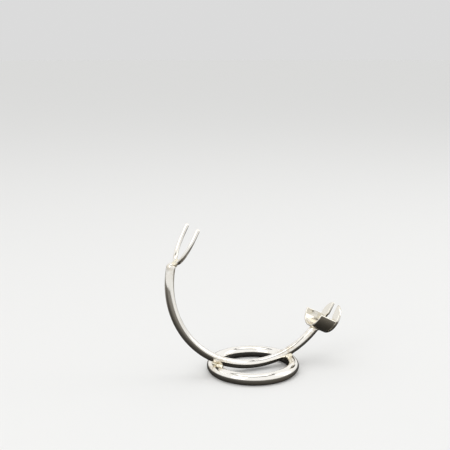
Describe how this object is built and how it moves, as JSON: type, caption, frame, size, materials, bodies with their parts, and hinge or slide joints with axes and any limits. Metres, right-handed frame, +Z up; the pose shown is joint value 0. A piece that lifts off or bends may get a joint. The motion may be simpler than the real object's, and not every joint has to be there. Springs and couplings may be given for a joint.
{
  "type": "razor stand",
  "caption": "Table stand for a straight razor: a rod base ring, a C-shaped rod across it, a wire fork at the high end and a slanted half-pipe cradle with a slotted end plate at the low end.",
  "frame": {"origin": "centre of the footprint box, on the table surface", "axes": "+Z up from the table; +X along the C-shaped rod, from the fork towards the cradle; +Y across the stand"},
  "size_m": [0.1013, 0.05, 0.0827],
  "materials": {
    "plated_rod": "polished bright nickel plate on steel rod and wire, warm tint",
    "plated_sheet": "polished bright nickel plate on steel sheet, faint brushing along the trough",
    "plated_filler": "nickel plate over uneven brazing filler, softer shine and a cream tint"
  },
  "bodies": {
    "root": {"base_ring": "plated_rod", "arc_rod": "plated_rod", "fork": "plated_rod", "cradle_trough": "plated_sheet", "cradle_end_plate": "plated_sheet", "braze_ring_left": "plated_filler", "braze_ring_right": "plated_filler", "braze_fork": "plated_filler", "braze_cradle": "plated_filler", "braze_end_plate": "plated_filler"}
  },
  "joints": []
}
